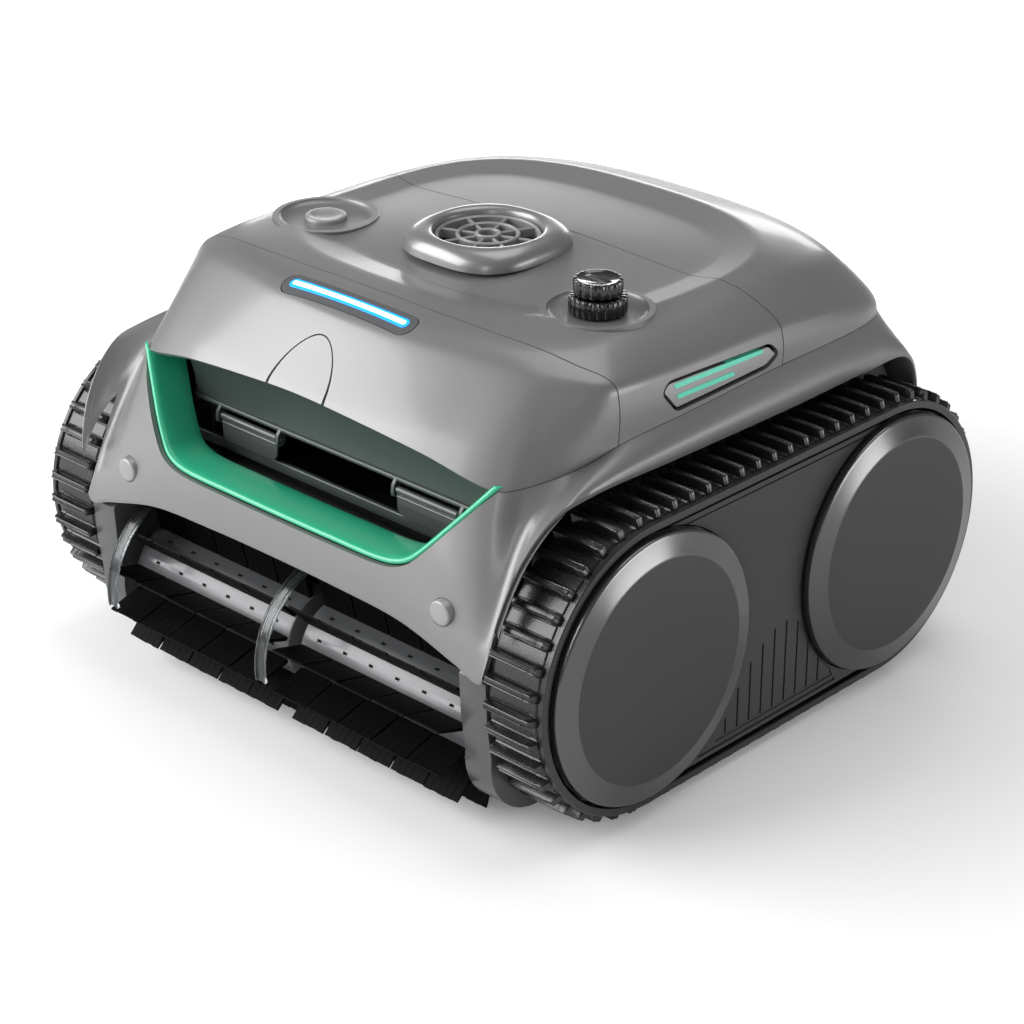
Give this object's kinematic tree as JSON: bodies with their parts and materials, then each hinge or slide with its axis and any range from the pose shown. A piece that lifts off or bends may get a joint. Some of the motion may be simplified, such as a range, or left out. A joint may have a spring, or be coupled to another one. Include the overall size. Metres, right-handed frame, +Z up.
{
  "type": "pool cleaner",
  "caption": "Cordless tracked pool cleaning robot with wide front intake, roller brushes, top outlet and hinged hood over a filter basket.",
  "frame": {"origin": "on the ground, under the middle of the footprint", "axes": "+Z up, -Y towards the front with the mouth and brushes, +X to the right of someone who faces that front"},
  "size_m": [0.41, 0.3923, 0.266],
  "materials": {
    "shell": "satin metallic grey moulded plastic",
    "trim": "light grey satin plastic",
    "accent": "emerald green satin plastic",
    "light": "lit light guide",
    "clear": "clear polycarbonate",
    "black_gloss": "glossy black plastic",
    "dark_plastic": "dark moulded plastic, fine grain",
    "rubber": "moulded rubber with a slight sheen",
    "brush_core": "soft PVC blades on a grey core",
    "disc": "dark grey plastic with a glossy chamfer",
    "metal": "machined stainless steel",
    "gear": "natural acetal",
    "battery": "heat-shrunk battery wrap"
  },
  "bodies": {
    "root": {"body_frame": "shell", "mouth_bezel": "accent", "filter_chamber": "dark_plastic", "filter_basket": "dark_plastic", "base_pan": "dark_plastic", "rear_deck": "dark_plastic", "screw_cap_left": "trim", "screw_cap_right": "trim", "hinge_pin_left": "metal", "hinge_pin_right": "metal", "track_left": "rubber", "track_right": "rubber", "side_frame_left": "dark_plastic", "side_frame_right": "dark_plastic", "side_skirt_left": "dark_plastic", "side_skirt_right": "dark_plastic", "rear_axle_left": "metal", "rear_axle_right": "metal", "drive_motor_left": "metal", "drive_motor_right": "metal", "brush_end_plate_left": "trim", "brush_end_plate_right": "trim", "brush_guard_centre": "clear", "brush_guard_left": "clear", "pump_housing": "dark_plastic", "pump_motor": "metal", "battery_pack": "battery", "control_box": "dark_plastic"},
    "hood": {"nose_cover": "shell", "light_bar": "light", "top_cover": "shell", "rear_cover": "shell", "side_trim_left": "trim", "side_trim_right": "trim", "outlet_bezel": "shell", "outlet_grille": "trim", "charging_socket": "black_gloss"},
    "latch": {"latch_tab": "shell"},
    "button": {"power_button": "trim"},
    "cap": {"charging_cap": "black_gloss"},
    "cap_ring": {"charging_cap_ring": "black_gloss"},
    "impeller_body": {"impeller": "gear"},
    "front_drive_left": {"front_wheel_left": "dark_plastic", "front_wheel_cover_left": "disc", "drive_axle_left": "gear"},
    "rear_drive_left": {"rear_wheel_left": "dark_plastic", "rear_wheel_cover_left": "disc"},
    "brush_body_left": {"brush_left": "brush_core", "brush_gear_left": "gear"},
    "pinion_left": {"motor_pinion_left": "gear"},
    "flap_left": {"mouth_flap_left": "trim"},
    "front_drive_right": {"front_wheel_right": "dark_plastic", "front_wheel_cover_right": "disc", "drive_axle_right": "gear"},
    "rear_drive_right": {"rear_wheel_right": "dark_plastic", "rear_wheel_cover_right": "disc"},
    "brush_body_right": {"brush_right": "brush_core", "brush_gear_right": "gear"},
    "pinion_right": {"motor_pinion_right": "gear"},
    "flap_right": {"mouth_flap_right": "trim"}
  },
  "joints": [
    {"name": "hood_hinge", "type": "hinge", "parent": "root", "child": "hood", "pos_m": [0, 0.18956, 0.201], "axis": [-1, 0, 0], "range_deg": [0, 80]},
    {"name": "latch_press", "type": "hinge", "parent": "hood", "child": "latch", "pos_m": [0, -0.13194, 0.2324], "axis": [1, 0, 0], "range_deg": [0, 9], "stiffness_Nm_per_rad": 0.3},
    {"name": "button_press", "type": "slide", "parent": "hood", "child": "button", "axis": [0, 0, -1], "range_m": [0, 0.002], "stiffness_N_per_m": 400},
    {"name": "cap_lift", "type": "slide", "parent": "hood", "child": "cap", "axis": [0, 0, 1], "range_m": [0, 0.014]},
    {"name": "cap_ring_turn", "type": "hinge", "parent": "cap", "child": "cap_ring", "pos_m": [0.106, -0.03994, 0.25], "axis": [0, 0, 1], "range_deg": [0, 120]},
    {"name": "impeller_spin", "type": "hinge", "parent": "root", "child": "impeller_body", "pos_m": [0, -0.01434, 0.224], "axis": [0, 0, 1], "continuous": true},
    {"name": "front_wheel_spin_left", "type": "hinge", "parent": "root", "child": "front_drive_left", "pos_m": [-0.18, -0.09724, 0.0888], "axis": [1, 0, 0], "continuous": true},
    {"name": "rear_wheel_spin_left", "type": "hinge", "parent": "root", "child": "rear_drive_left", "pos_m": [-0.18, 0.10736, 0.0888], "axis": [1, 0, 0], "continuous": true},
    {"name": "brush_spin_left", "type": "hinge", "parent": "root", "child": "brush_body_left", "pos_m": [-0.075, -0.14326, 0.0503], "axis": [1, 0, 0], "continuous": true},
    {"name": "pinion_spin_left", "type": "hinge", "parent": "root", "child": "pinion_left", "pos_m": [-0.154, -0.04693, 0.0738], "axis": [1, 0, 0], "continuous": true},
    {"name": "flap_swing_left", "type": "hinge", "parent": "root", "child": "flap_left", "pos_m": [-0.075, -0.13394, 0.155], "axis": [1, 0, 0], "range_deg": [0, 50]},
    {"name": "front_wheel_spin_right", "type": "hinge", "parent": "root", "child": "front_drive_right", "pos_m": [0.18, -0.09724, 0.0888], "axis": [1, 0, 0], "continuous": true},
    {"name": "rear_wheel_spin_right", "type": "hinge", "parent": "root", "child": "rear_drive_right", "pos_m": [0.18, 0.10736, 0.0888], "axis": [1, 0, 0], "continuous": true},
    {"name": "brush_spin_right", "type": "hinge", "parent": "root", "child": "brush_body_right", "pos_m": [0.075, -0.14326, 0.0503], "axis": [1, 0, 0], "continuous": true},
    {"name": "pinion_spin_right", "type": "hinge", "parent": "root", "child": "pinion_right", "pos_m": [0.154, -0.04693, 0.0738], "axis": [1, 0, 0], "continuous": true},
    {"name": "flap_swing_right", "type": "hinge", "parent": "root", "child": "flap_right", "pos_m": [0.075, -0.13394, 0.155], "axis": [1, 0, 0], "range_deg": [0, 50]}
  ],
  "couplings": [
    {"joint": "rear_wheel_spin_left", "follows": "front_wheel_spin_left", "ratio": 1},
    {"joint": "brush_spin_left", "follows": "front_wheel_spin_left", "ratio": -2},
    {"joint": "pinion_spin_left", "follows": "front_wheel_spin_left", "ratio": -3.2},
    {"joint": "rear_wheel_spin_right", "follows": "front_wheel_spin_right", "ratio": 1},
    {"joint": "brush_spin_right", "follows": "front_wheel_spin_right", "ratio": -2},
    {"joint": "pinion_spin_right", "follows": "front_wheel_spin_right", "ratio": -3.2}
  ]
}
